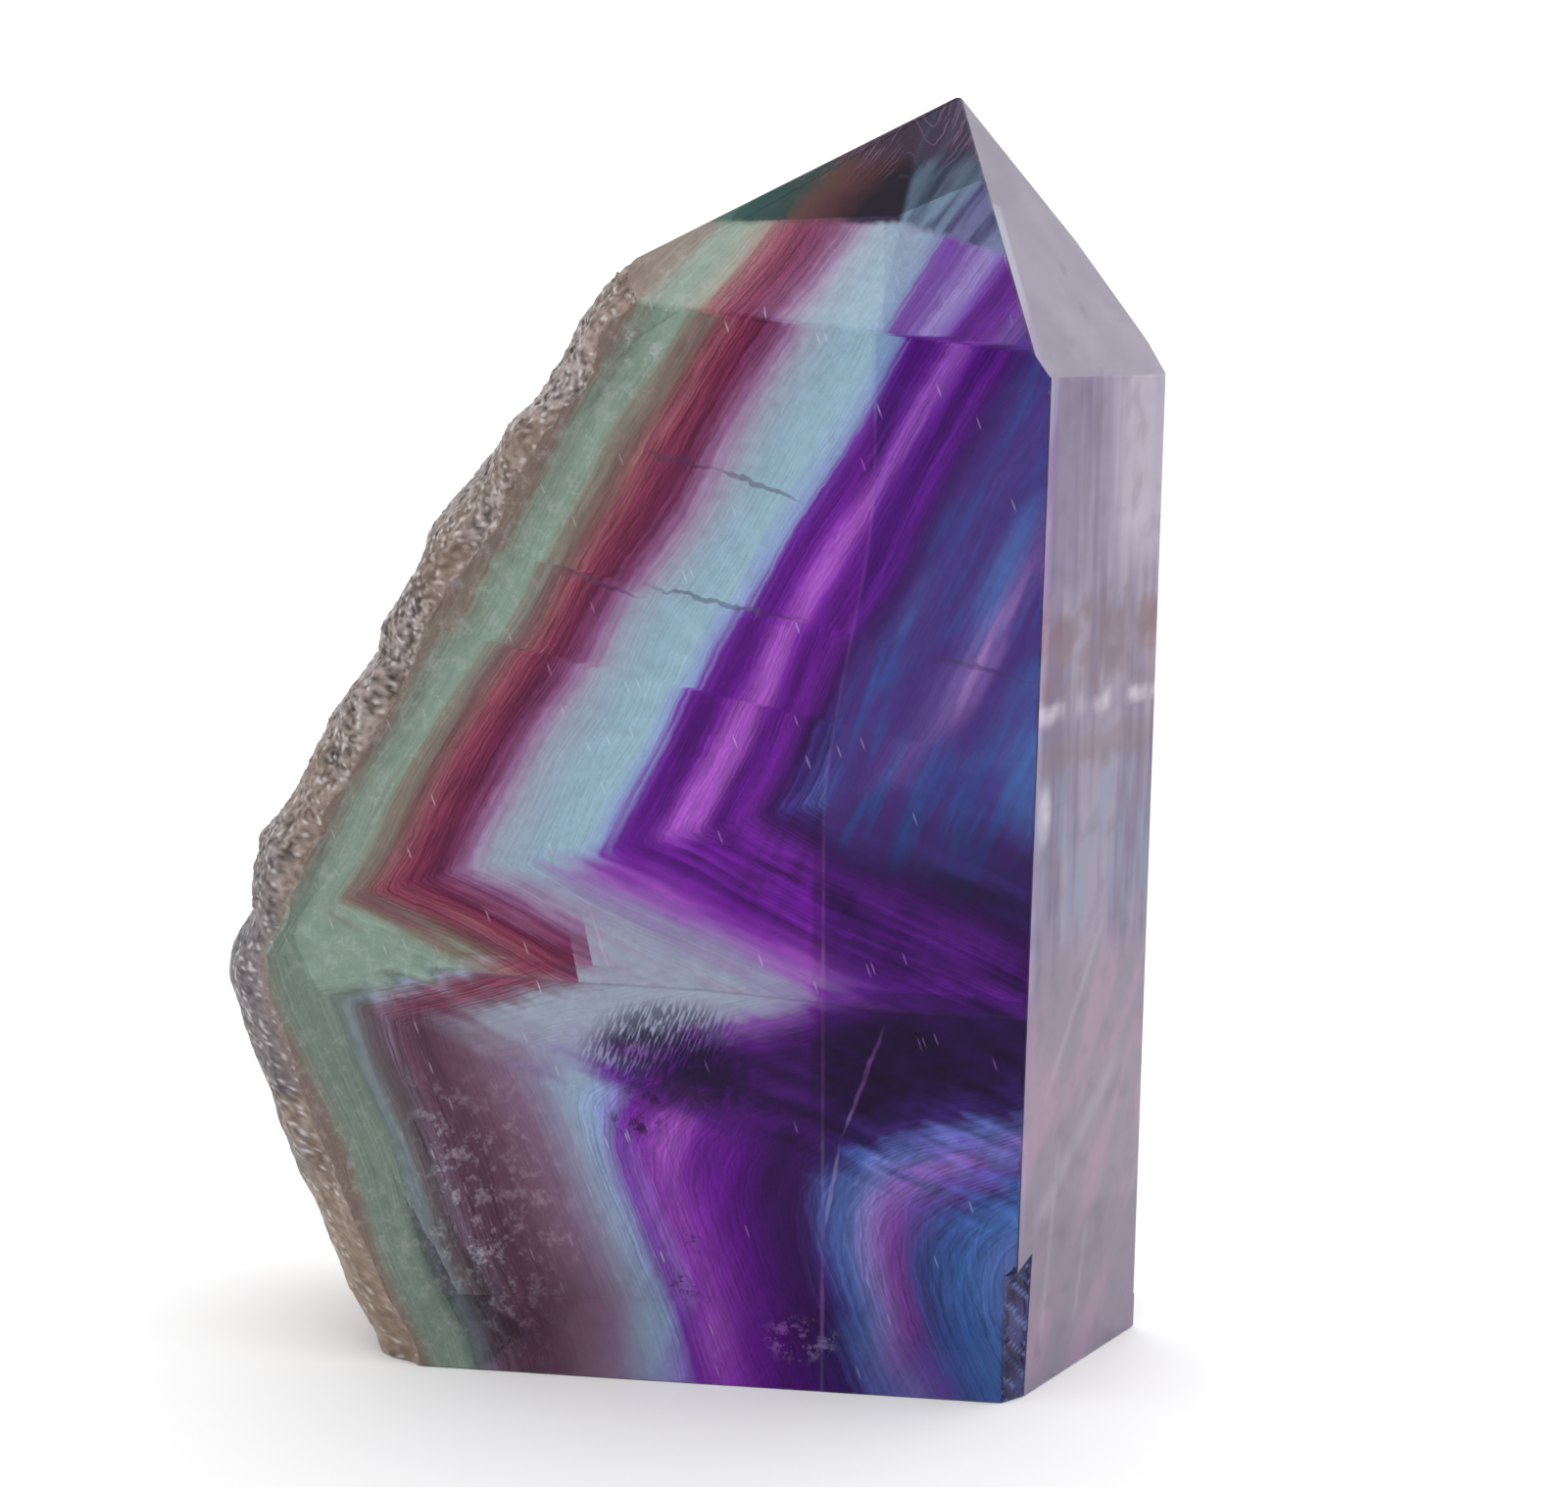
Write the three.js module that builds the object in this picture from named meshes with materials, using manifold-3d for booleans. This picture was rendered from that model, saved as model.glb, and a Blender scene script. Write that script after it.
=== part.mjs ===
// A polished point of banded fluorite: six-sided, with flat facets on every side but the left, which keeps
// the raw rind of the vein. It is one piece of crystal that stands on its flat sawn base.
// Millimetres and degrees, +Z up. A facet's azimuth is 0 when it faces -Y and 90 when it faces +X.

import * as THREE from "three";
import { ImprovedNoise } from "three/addons/math/ImprovedNoise.js";
import { mergeVertices } from "three/addons/utils/BufferGeometryUtils.js";
import Module from "manifold-3d";

// Driving dimensions. Distances are from the upright axis below the tip, and heights from the base.
const TIP_HEIGHT = 99.8;

// Polished sides: the way each one faces, how far it leans back, and its distance from the axis at the base
const SIDES = [
  { azimuth: -10.9, lean: 0.3, distance: 17.0 }, // wide front
  { azimuth: 59.3, lean: -1.3, distance: 12.4 }, // narrow right
  { azimuth: 148, lean: 0.2, distance: 8.9 }, // back right
  { azimuth: 176, lean: 2, distance: 15.4 }, // wide back
];

// Crown facets: the way each one faces, the rise of its normal, and the height where it crosses the axis
const CROWN = [
  { azimuth: -5, rise: 41.4, height: TIP_HEIGHT }, // front
  { azimuth: 59.6, rise: 33.5, height: TIP_HEIGHT - 0.1 }, // right
  { azimuth: 130, rise: 35.5, height: TIP_HEIGHT + 0.1 }, // back right, by the tip
  { azimuth: 125, rise: 29.4, height: TIP_HEIGHT + 3.8 }, // back right, by the shoulder
  { azimuth: 178, rise: 42, height: TIP_HEIGHT - 0.3 }, // back
  { azimuth: -116, rise: 55.7, height: TIP_HEIGHT + 0.1 }, // left
];

// The raw left edge from the base up: height, then distance left of the axis at its outermost crest
const RAW_EDGE = [
  [-6, 43.6],
  [0, 46.8],
  [10, 51.5],
  [18, 54.8],
  [25, 57.0],
  [30.6, 58.8],
  [33, 58.4],
  [35.2, 56.8],
  [38, 56.4],
  [44, 53.6],
  [51, 49.4],
  [65, 41.6],
  [73, 36.2],
  [77, 32.8],
  [83, 29.2],
  [87.5, 25.4],
  [106, 9],
];
const RAW_ROUND = { depth: 6, rise: 4.2 }; // the raw side rounds over from the front facet's edge
const RAW_FALL = { depth: 26, fall: 7 }; // then it falls back towards the back facet
const RAW_DEPTH = 64; // front to back of the block that carries the raw surface
const RAW_CELL = 1.25; // spacing of the raw surface's points
const LUMPS = [
  { size: 9, height: 1.2, seed: 3 }, // broad lumps
  { size: 3.6, height: 0.9, seed: 17 }, // knobs
  { size: 1.9, height: 0.5, seed: 41 }, // sugary grain
];
const WORN = { below: 30, fade: 8, relief: 0.5 }; // under this height the raw side is worn smoother

// The chip broken off the upright edge between front and right, at the base
const CHIP = { azimuth: 41, distance: 15.4, height: 13.8, topSlope: 22, size: 30 };

const BLOCK = 300; // a block larger than the stone, for rough stock and for cutting
const COLOUR = 0x5f3a86;
const ROUGHNESS = 0.08;

const wasm = await Module();
wasm.setup();

// The unit normal of a plane that faces an azimuth and rises above level
function facing(azimuth, rise) {
  const turn = THREE.MathUtils.degToRad(azimuth);
  const up = THREE.MathUtils.degToRad(rise);
  return new THREE.Vector3(Math.sin(turn) * Math.cos(up), -Math.cos(turn) * Math.cos(up), Math.sin(up));
}

// A closed three.js geometry as a solid that can be joined and cut
function solidFrom(geometry) {
  const bare = geometry.clone().deleteAttribute("normal").deleteAttribute("uv");
  const merged = mergeVertices(bare, 1e-4);
  return new wasm.Manifold(
    new wasm.Mesh({
      numProp: 3,
      vertProperties: merged.getAttribute("position").array,
      triVerts: new Uint32Array(merged.index.array),
    }),
  );
}

// A solid back as a three.js geometry
function geometryFrom(solid) {
  const mesh = solid.getMesh();
  const geometry = new THREE.BufferGeometry();
  geometry.setAttribute("position", new THREE.BufferAttribute(new Float32Array(mesh.vertProperties), 3));
  geometry.setIndex(new THREE.BufferAttribute(new Uint32Array(mesh.triVerts), 1));
  return geometry;
}

// Everything on the outer side of a plane
function outside(normal, point) {
  const turn = new THREE.Quaternion().setFromUnitVectors(new THREE.Vector3(0, 0, 1), normal);
  const block = new THREE.BoxGeometry(BLOCK, BLOCK, BLOCK)
    .translate(0, 0, BLOCK / 2)
    .applyQuaternion(turn)
    .translate(point.x, point.y, point.z);
  return solidFrom(block);
}

// The stock ground flat on its base, sides and crown
function polishedPoint() {
  let stone = solidFrom(new THREE.BoxGeometry(BLOCK, BLOCK, BLOCK).translate(0, 0, BLOCK / 2));
  for (const { azimuth, lean, distance } of SIDES) {
    const point = facing(azimuth, 0).multiplyScalar(distance);
    stone = stone.subtract(outside(facing(azimuth, lean), point));
  }
  for (const { azimuth, rise, height } of CROWN) {
    stone = stone.subtract(outside(facing(azimuth, rise), new THREE.Vector3(0, 0, height)));
  }
  return stone;
}

// How far the raw edge stands out left of the axis at a height
function rawReach(height) {
  const above = RAW_EDGE.findIndex(([z]) => z > height);
  const next = above < 1 ? RAW_EDGE.length - 1 : above;
  const [lowZ, lowReach] = RAW_EDGE[next - 1];
  const [highZ, highReach] = RAW_EDGE[next];
  return THREE.MathUtils.mapLinear(height, lowZ, highZ, lowReach, highReach);
}

// How far the raw side lies back from its crest, by the depth behind the front facet
function fallBack(depth) {
  if (depth > RAW_ROUND.depth) {
    return RAW_FALL.fall * ((depth - RAW_ROUND.depth) / (RAW_FALL.depth - RAW_ROUND.depth)) ** 2;
  }
  const share = THREE.MathUtils.clamp(1 - depth / RAW_ROUND.depth, 0, 1);
  return RAW_ROUND.rise * (1 - Math.sqrt(1 - share ** 2));
}

// The raw side: rounded over from the front, lumpy all over, and worn smoother low down
const noise = new ImprovedNoise();
function rawSurface(y, z) {
  const front = SIDES[0];
  const reach = rawReach(z);
  const depth = front.distance - facing(front.azimuth, 0).dot(new THREE.Vector3(-reach, y, 0));
  const fresh = THREE.MathUtils.smoothstep(z, WORN.below, WORN.below + WORN.fade);
  const relief = THREE.MathUtils.lerp(WORN.relief, 1, fresh);
  let lumps = 0;
  for (const { size, height, seed } of LUMPS) lumps += height * noise.noise(y / size, z / size, seed);
  return -reach + fallBack(depth) + relief * lumps;
}

// Everything to the right of the raw surface
function rightOfRawSurface() {
  const [lowest] = RAW_EDGE[0];
  const [highest] = RAW_EDGE.at(-1);
  const tall = highest - lowest;
  const steps = [RAW_DEPTH, tall].map((length) => Math.round(length / RAW_CELL));
  const block = new THREE.BoxGeometry(BLOCK, RAW_DEPTH, tall, 1, ...steps);
  block.translate(0, 0, (highest + lowest) / 2);
  const place = block.getAttribute("position");
  for (let i = 0; i < place.count; i++) {
    if (place.getX(i) < 0) place.setX(i, rawSurface(place.getY(i), place.getZ(i)));
  }
  return solidFrom(block);
}

// The broken-off corner: a flat cleavage break with a slanted upper end
function chip() {
  const normal = facing(CHIP.azimuth, 0);
  const level = new THREE.Vector3(0, 0, 1).cross(normal);
  const basis = new THREE.Matrix4().makeBasis(level, new THREE.Vector3(0, 0, 1), normal);
  const point = normal.clone().multiplyScalar(CHIP.distance);
  const block = new THREE.BoxGeometry(2 * CHIP.size, CHIP.size, CHIP.size)
    .translate(0, -CHIP.size / 2, CHIP.size / 2)
    .rotateZ(THREE.MathUtils.degToRad(CHIP.topSlope))
    .applyMatrix4(basis)
    .translate(point.x, point.y, CHIP.height);
  return solidFrom(block);
}

function fluoritePoint() {
  const stone = polishedPoint().intersect(rightOfRawSurface()).subtract(chip());
  const geometry = geometryFrom(stone);
  geometry.computeBoundingBox();
  const middle = geometry.boundingBox.getCenter(new THREE.Vector3());
  geometry.translate(-middle.x, -middle.y, 0);
  const material = new THREE.MeshStandardMaterial({ color: COLOUR, roughness: ROUGHNESS, metalness: 0 });
  const mesh = new THREE.Mesh(geometry, material);
  mesh.name = "fluorite_point";
  return mesh;
}

const group = new THREE.Group();
group.add(fluoritePoint());

export default group;
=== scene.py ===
"""A polished point of banded fluorite with one raw side, on a pale floor in soft studio light."""

import math
from types import SimpleNamespace

import bmesh
import bpy
import numpy as np
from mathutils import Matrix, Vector, noise


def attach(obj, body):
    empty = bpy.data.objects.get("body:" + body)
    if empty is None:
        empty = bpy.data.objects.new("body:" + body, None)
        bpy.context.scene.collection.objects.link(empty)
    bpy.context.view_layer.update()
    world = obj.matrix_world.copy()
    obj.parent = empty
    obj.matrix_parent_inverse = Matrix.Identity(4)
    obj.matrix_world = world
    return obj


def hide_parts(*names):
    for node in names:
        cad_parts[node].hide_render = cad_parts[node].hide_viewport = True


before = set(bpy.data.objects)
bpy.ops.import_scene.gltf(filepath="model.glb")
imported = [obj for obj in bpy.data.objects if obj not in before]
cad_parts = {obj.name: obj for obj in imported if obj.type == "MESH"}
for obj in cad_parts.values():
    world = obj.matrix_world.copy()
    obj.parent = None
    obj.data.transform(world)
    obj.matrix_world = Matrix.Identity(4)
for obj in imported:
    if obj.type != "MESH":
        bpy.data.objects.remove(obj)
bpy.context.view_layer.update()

NODE = "fluorite_point"
MM = 0.001
UP = Vector((0, 0, 1))

# The stone's shape
SAME_POINT = 0.0001 * MM  # points nearer than this are one
PLANE_SLACK = 0.006 * MM  # how near a facet's plane its points lie
FACET_AREA = 6 * MM**2  # flats larger than this are polished facets
FIRST_FACE_AREA = FACET_AREA / 12  # the least that a facet's largest face measures
EDGE_ROUND = 0.2 * MM  # wear on the polished edges
LONG_EDGE = 6 * MM  # shorter edges stay sharp

# The raw side, in mm
RIND_CUTS = 4  # how often each of its edges is divided
RIND_SMOOTHINGS = 3
RIND_STARTS = (0.0, 1.3)  # depth behind the front facet where the rind takes over from the bands
GRAIN = 0.62  # size of the sugary grains
GRAIN_RELIEF = 0.3  # how far the grains stand out
GRAIN_DOME = 0.55  # how much of that is the grain's raised middle
GRAIN_TILT = 1.1  # and how much its slant
TILT_SPREAD = 7.3  # sets the slants of neighbouring grains apart
GRAIN_SEED = 1  # gives the grains the same slants in each run
WORN_BELOW = 30.0  # under this height the rind is worn smooth
WORN_FADE = 10.0
WORN_RELIEF = 0.35  # share of the relief that the worn part keeps

# The front facet, in which the bands are laid out, and the narrow right side
FRONT_TURN = math.radians(-10.9)
FRONT_DISTANCE = 17.0  # mm from the upright axis under the tip
RIGHT_TURN = math.radians(59.3)
RIGHT_WAY = Vector((math.cos(RIGHT_TURN), math.sin(RIGHT_TURN), 0))

# Kinds of face, and how they are told apart
CLEAR, RIND, SIDE, CROWN, CHIP, BASE = range(6)
RIGHT_FACING = (50, 70)  # degrees to the right of straight ahead
CHIP_FACING = (35, 47)
CROWN_RISE = 0.3  # upward part of the normal: a crown facet has more than this
BASE_RISE = -0.9  # and the base less than this
CHIP_AREA = 25 * MM**2  # the chip is larger than the strips of the worn edges
PAINT_CELLS = {SIDE: 0.45 * MM, CROWN: 0.8 * MM, CHIP: 0.3 * MM}

# The cleavage steps of the chip, in mm
CHIP_STEP = 0.3  # depth
CHIP_STEP_WIDTH = 1.2
CHIP_ACROSS = (0.64, 0.77)  # the way across the steps: along the right side, and up
CHIP_WAVE = 0.8  # how far the steps stray, in widths
CHIP_WAVE_LENGTH = 3

# The crystal's own values
REFRACTION = 1.434
SHEEN = (0.3, 0.3, 0.3, 1)
ABSORPTION = (0.80, 0.74, 0.88, 1)
ABSORPTION_DENSITY = 8.0

# The stage
FLOOR_RADIUS = 4.0
FLOOR_GAP = 0.1 * MM  # keeps the floor clear of the stone's base
KEY_WAY = (0.55, 0.55, 0.6)  # where the room is brightest
ROOM_DIM = 0.8
ROOM_BRIGHT = 1.5
LENS = 75.0
LOOK_DOWN = 8  # degrees
CAMERA_PLACE = Vector((-13.774, -259.63, 85.2)) * MM  # from the point under the tip


def smooth(value, low, high):
    """0 at low and beyond it, 1 at high and beyond it, and an even curve between them"""
    share = min(max((value - low) / (high - low), 0), 1)
    return share * share * (3 - 2 * share)


def rgb(red, green, blue):
    """A colour given as it looks on a screen, 0 to 255"""
    screen = np.array((red, green, blue)) / 255
    light = np.where(screen < 0.04, screen / 12.92, ((screen + 0.055) / 1.055) ** 2.4)
    return (*light.tolist(), 1)


# Mesh


def coplanar_faces(bm):
    """Each polished facet as the list of faces that lie in its plane"""
    points = np.array([v.co for v in bm.verts])
    corners = np.array([[v.index for v in f.verts] for f in bm.faces])
    areas = np.array([f.calc_area() for f in bm.faces])
    free = np.ones(len(areas), bool)
    facets = []
    for index in np.argsort(-areas):
        if not free[index] or areas[index] < FIRST_FACE_AREA:
            continue
        face = bm.faces[index]
        off_plane = np.abs((points - np.array(face.verts[0].co)) @ np.array(face.normal))
        flat = free & (off_plane[corners] < PLANE_SLACK).all(1)
        if areas[flat].sum() > FACET_AREA:
            free[flat] = False
            facets.append([bm.faces[i] for i in np.flatnonzero(flat)])
    return facets


def join_facets(bm, kind):
    """Makes each polished facet one whole face, and marks the faces of the raw side"""
    facets = coplanar_faces(bm)
    polished = {f for facet in facets for f in facet}
    for face in bm.faces:
        face[kind] = RIND if face not in polished and face.calc_center_median().x < 0 else CLEAR
    for facet in facets:
        bmesh.ops.dissolve_faces(bm, faces=facet)


def wear_edges(bm, kind):
    """Rounds the long edges between polished facets, apart from those around the base"""
    sharp = [e for e in bm.edges if e.is_convex and all(f[kind] == CLEAR for f in e.link_faces)]
    worn = [e for e in sharp if e.calc_length() > LONG_EDGE and max(v.co.z for v in e.verts) > LONG_EDGE]
    bmesh.ops.bevel(bm, geom=worn, offset=EDGE_ROUND, segments=2, profile=0.6, affect="EDGES")


def mark_painted_facets(bm, kind):
    """Marks the pale right facets, the chip and the base by the way they face"""
    for face in [f for f in bm.faces if f[kind] == CLEAR]:
        azimuth = math.degrees(math.atan2(face.normal.x, -face.normal.y))
        if face.normal.z < BASE_RISE:
            face[kind] = BASE
        elif RIGHT_FACING[0] < azimuth < RIGHT_FACING[1]:
            face[kind] = SIDE if face.normal.z < CROWN_RISE else CROWN
        elif CHIP_FACING[0] < azimuth < CHIP_FACING[1] and face.calc_area() > CHIP_AREA:
            face[kind] = CHIP


def cut_across(bm, kind, wanted, direction, spacing):
    """Cuts the faces of one kind by evenly spaced planes across a direction"""
    reach = [v.co.dot(direction) for f in bm.faces if f[kind] == wanted for v in f.verts]
    for step in range(math.ceil(min(reach) / spacing), math.ceil(max(reach) / spacing)):
        faces = [f for f in bm.faces if f[kind] == wanted]
        parts = [*faces, *(e for f in faces for e in f.edges), *(v for f in faces for v in f.verts)]
        once = list(dict.fromkeys(parts))
        place = direction * step * spacing
        bmesh.ops.bisect_plane(bm, geom=once, dist=SAME_POINT, plane_co=place, plane_no=direction)


def chip_phase(point):
    """0 to 1 over each cleavage step, which runs down to the right"""
    aside = CHIP_ACROSS[0] * along_right(point) + CHIP_ACROSS[1] * point.z
    return (aside / CHIP_STEP_WIDTH + CHIP_WAVE * noise.noise(point / CHIP_WAVE_LENGTH)) % 1


def step_chip(bm, kind, foot):
    """Breaks the chip into slanted cleavage steps"""
    chip_faces = [f for f in bm.faces if f[kind] == CHIP]
    normal = chip_faces[0].normal.copy()
    inner = {v for f in chip_faces for v in f.verts if all(g[kind] == CHIP for g in v.link_faces)}
    for vertex in inner:
        vertex.co -= normal * CHIP_STEP * chip_phase((vertex.co - foot) / MM) * MM


def refine_rind(bm, kind):
    """Divides the raw side finely and evens it out, and gives back the points inside it"""
    edges = dict.fromkeys(e for f in bm.faces if f[kind] == RIND for e in f.edges)
    bmesh.ops.subdivide_edges(bm, edges=list(edges), cuts=RIND_CUTS, use_grid_fill=True)
    bmesh.ops.triangulate(bm, faces=[f for f in bm.faces if f[kind] == RIND and len(f.verts) > 3])
    inner = [v for v in bm.verts if all(f[kind] == RIND for f in v.link_faces)]
    for _ in range(RIND_SMOOTHINGS):
        bmesh.ops.smooth_vert(bm, verts=inner, factor=0.5, use_axis_x=True, use_axis_y=True, use_axis_z=True)
    return inner


def grain_height(point):
    """Relief of the sugary rind: tilted flats, one to a grain"""
    distances, seeds = noise.voronoi(point / GRAIN)
    seed = Vector(seeds[0])
    tilt = noise.noise_vector(seed * TILT_SPREAD)
    return GRAIN_DOME * (distances[1] - distances[0]) + GRAIN_TILT * tilt.dot(point / GRAIN - seed)


def roughen(bm, inner):
    """Gives the raw side its grains, flatter where it is worn"""
    noise.seed_set(GRAIN_SEED)
    bm.normal_update()
    moves = []
    for vertex in inner:
        fresh = smooth(vertex.co.z / MM, WORN_BELOW, WORN_BELOW + WORN_FADE)
        relief = GRAIN_RELIEF * (WORN_RELIEF + (1 - WORN_RELIEF) * fresh)
        moves.append(vertex.normal * relief * grain_height(vertex.co / MM) * MM)
    for vertex, move in zip(inner, moves):
        vertex.co += move


def stone_mesh(solid, foot):
    """A copy of the solid with whole facets, worn edges, a stepped chip and a grainy rind"""
    bm = bmesh.new()
    bm.from_mesh(solid.data)
    bmesh.ops.remove_doubles(bm, verts=bm.verts, dist=SAME_POINT)
    for parts in (bm.verts, bm.faces):
        parts.ensure_lookup_table()
        parts.index_update()
    kind = bm.faces.layers.int.new("kind")
    join_facets(bm, kind)
    wear_edges(bm, kind)
    mark_painted_facets(bm, kind)
    for wanted, spacing in PAINT_CELLS.items():
        cut_across(bm, kind, wanted, UP, spacing)
        cut_across(bm, kind, wanted, RIGHT_WAY, spacing)
    step_chip(bm, kind, foot)
    inner = refine_rind(bm, kind)
    roughen(bm, inner)
    bm.verts.index_update()
    raw = np.zeros(len(bm.verts))
    raw[[v.index for v in inner]] = 1
    mesh = bpy.data.meshes.new("fluorite point")
    bm.to_mesh(mesh)
    bm.free()
    paint_mesh(mesh, foot, raw)
    return mesh


# Paint on the parts that aren't clear crystal

# The rind's darkest tone is partly painted shade in pits, and its white is painted glints
RIND_DARK_AND_PIT_SHADE = rgb(56, 46, 44)
RIND_LIGHT = rgb(192, 176, 170)
RIND_BROWN = rgb(140, 116, 92)
RIND_GREY = rgb(98, 94, 106)
RIND_LOW = rgb(172, 148, 122)
RIND_GLINT_HIGHLIGHT = rgb(244, 240, 240)
# The right side's pale tints are a painted reflection of the bright room, with a painted highlight and
# painted shade
SIDE_DIM = rgb(120, 105, 140)
SIDE_PALE_REFLECTION = rgb(158, 148, 172)
SIDE_HIGHLIGHT = rgb(196, 187, 207)
SIDE_PAINTED_SHADE = rgb(124, 106, 146)
RUST = rgb(130, 100, 108)
RED_RUST = rgb(140, 82, 80)
BROWN_ROW = rgb(128, 100, 106)
WHITE_ROW = rgb(222, 216, 228)
WET = rgb(134, 150, 178)
# A painted highlight on the right side
SIDE_GLINT_HIGHLIGHT = rgb(226, 222, 234)
VEIL_DIM = rgb(142, 130, 152)
VEIL_PINK = rgb(164, 138, 164)
PALE_LINE = rgb(184, 174, 194)
SMUDGE = rgb(104, 90, 116)
# The crown facet's pale tint is a painted reflection of the bright room
CROWN_REFLECTION_DIM = rgb(136, 128, 152)
CROWN_REFLECTION_PALE = rgb(152, 142, 164)
PIT = rgb(84, 74, 96)
CHIP_DARK = rgb(26, 18, 58)
CHIP_DIM = rgb(70, 66, 118)
# Painted highlights on the rims of the chip's steps
CHIP_RIM_HIGHLIGHT = rgb(132, 146, 192)

# Start, end and half width of the pale lines on the right side, mm
PALE_LINES = [
    ((-10, 22), (1, 37), 0.7),
    ((-12, 12), (5, 25), 1.4),
    ((-9, 2), (-6.5, 20), 0.6),
    ((-3, 3), (-1, 12), 0.5),
]


def along_right(point):
    """How far along the narrow right side a point lies, to the right"""
    return point.dot(RIGHT_WAY)


def into_stone(point):
    """How far a point lies behind the front facet"""
    return FRONT_DISTANCE + point.y * math.cos(FRONT_TURN) - point.x * math.sin(FRONT_TURN)


def grain(across, along, width, length, seed):
    """Long soft noise, 0 to 1"""
    return 0.5 + 0.5 * noise.fractal(Vector((across / width, along / length, seed)), 1.0, 2.0, 3)


def mix(first, second, share):
    """The first colour changed by a share towards the second"""
    return tuple(a + (b - a) * share for a, b in zip(first, second))


def rind_tint(point):
    """The raw side: sugary grains, grey-brown above, dark grey in the middle, tan below, with painted shade
    in the pits between the grains and painted glints on them
    """
    sugar = noise.fractal(point / 0.55, 0.6, 2.0, 2) + 0.35 * noise.noise(point / 2.4)
    lumps = noise.fractal(point / 6, 1.0, 2.0, 3)
    painted_sparkle = noise.noise(point / 0.4 + Vector((9, 9, 9)))
    height = point.z + 9 * lumps
    # The grain tone's dark end is partly painted shade in the pits between grains
    tint = mix(RIND_DARK_AND_PIT_SHADE, RIND_LIGHT, smooth(sugar, -0.6, 0.65))
    tint = mix(tint, RIND_BROWN, 0.45 * smooth(lumps, -0.2, 0.4))
    tint = mix(tint, RIND_GREY, 0.6 * smooth(height, 14, 22) * smooth(height, 40, 32))
    tint = mix(tint, RIND_LOW, 0.5 * smooth(height, 22, 10))
    # Painted glints on the grains
    return mix(tint, RIND_GLINT_HIGHLIGHT, 0.8 * smooth(painted_sparkle, 0.3, 0.5))


def near_line(s, z, start, end, half_width):
    """1 on a straight line between two places on the right side, fading to 0 at its ends and sides"""
    length = math.dist(start, end)
    ahead = ((end[0] - start[0]) / length, (end[1] - start[1]) / length)
    along = (s - start[0]) * ahead[0] + (z - start[1]) * ahead[1]
    aside = abs((z - start[1]) * ahead[0] - (s - start[0]) * ahead[1])
    return smooth(aside, half_width, 0) * smooth(abs(along / length - 0.5), 0.5, 0.3)


def side_reflection_ground(s, z):
    """The pale lavender ground, a painted reflection of the bright room, in upright bands, with a painted
    highlight at the upper right and painted shade at the upper left
    """
    upright = 0.5 * grain(s, z, 1.3, 16, 1) + 0.5 * grain(s, z, 4.5, 30, 2)
    tint = mix(SIDE_DIM, SIDE_PALE_REFLECTION, smooth(upright, 0.34, 0.64))
    # Painted highlight at the upper right, then painted shade at the upper left
    tint = mix(tint, SIDE_HIGHLIGHT, 0.75 * smooth(s, -6, 4) * smooth(z, 60, 68))
    return mix(tint, SIDE_PAINTED_SHADE, 0.6 * smooth(s, -2, -9) * smooth(z, 58, 66))


def side_rows(tint, s, z, mottle):
    """Rust that hangs down in drips, redder at both ends, and a white and a brown row below it"""
    drip = grain(s, 0, 1.1, 1, 5)
    rust = smooth(z - 1.5 * mottle, 62, 59.5) * smooth(z + 5 * drip, 55, 60) * smooth(mottle, -0.7, 0.3)
    ends = smooth(abs(s + 2), 6, 10)
    tint = mix(tint, mix(RUST, RED_RUST, ends), 0.7 * rust)
    brown = smooth(abs(z + mottle - 49.8), 1.7, 0.3)
    tint = mix(tint, BROWN_ROW, 0.45 * brown)
    pieces = smooth(grain(s, 0, 3, 1, 9) + 0.3 * ends, 0.35, 0.75)
    white = smooth(abs(z + 0.6 * mottle - 53.2), 1.1, 0.1) * pieces
    return mix(tint, WHITE_ROW, 0.75 * white)


def side_veils(tint, s, z, mottle):
    """Wet-looking upright streaks with a painted highlight near the left edge, and below them veils that
    slant up to the right
    """
    wet = smooth(z, 33, 38) * smooth(z, 50, 46) * smooth(grain(s, z, 1.5, 11, 6), 0.4, 0.7)
    tint = mix(tint, WET, 0.7 * wet)
    # A painted highlight near the left edge of the side
    painted_glint = smooth(math.hypot((s + 11) / 1.5, (z - 45.5) / 3.2), 1, 0.1)
    tint = mix(tint, SIDE_GLINT_HIGHLIGHT, 0.85 * painted_glint)
    veil = grain(0.8 * s - 0.6 * z, 0.6 * s + 0.8 * z, 4.0, 16, 8)
    low = mix(VEIL_DIM, VEIL_PINK, smooth(veil, 0.4, 0.7))
    tint = mix(tint, low, 0.95 * smooth(z + 3 * mottle, 37, 31))
    for start, end, half_width in PALE_LINES:
        tint = mix(tint, PALE_LINE, 0.4 * near_line(s, z, start, end, half_width))
    return tint


def side_tint(point):
    """The right side: a pale lavender painted reflection, with a rusty row, a white row and pink veils below
    """
    s, z = along_right(point), point.z
    mottle = noise.fractal(Vector((s / 2.5, z / 2.5, 4)), 1.0, 2.0, 3)
    tint = side_reflection_ground(s, z)
    tint = side_rows(tint, s, z, mottle)
    tint = side_veils(tint, s, z, mottle)
    return mix(tint, SMUDGE, 0.3 * smooth(mottle, 0.0, 0.7))


def crown_tint(point):
    """The right crown facet: an even pale grey-lavender painted reflection, with a few pits"""
    tone = noise.fractal(point / 6, 1.0, 2.0, 3)
    pit = smooth(noise.voronoi(point / 2.6)[0][0], 0.16, 0.05)
    return mix(mix(CROWN_REFLECTION_DIM, CROWN_REFLECTION_PALE, smooth(tone, -0.5, 0.5)), PIT, 0.5 * pit)


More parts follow.
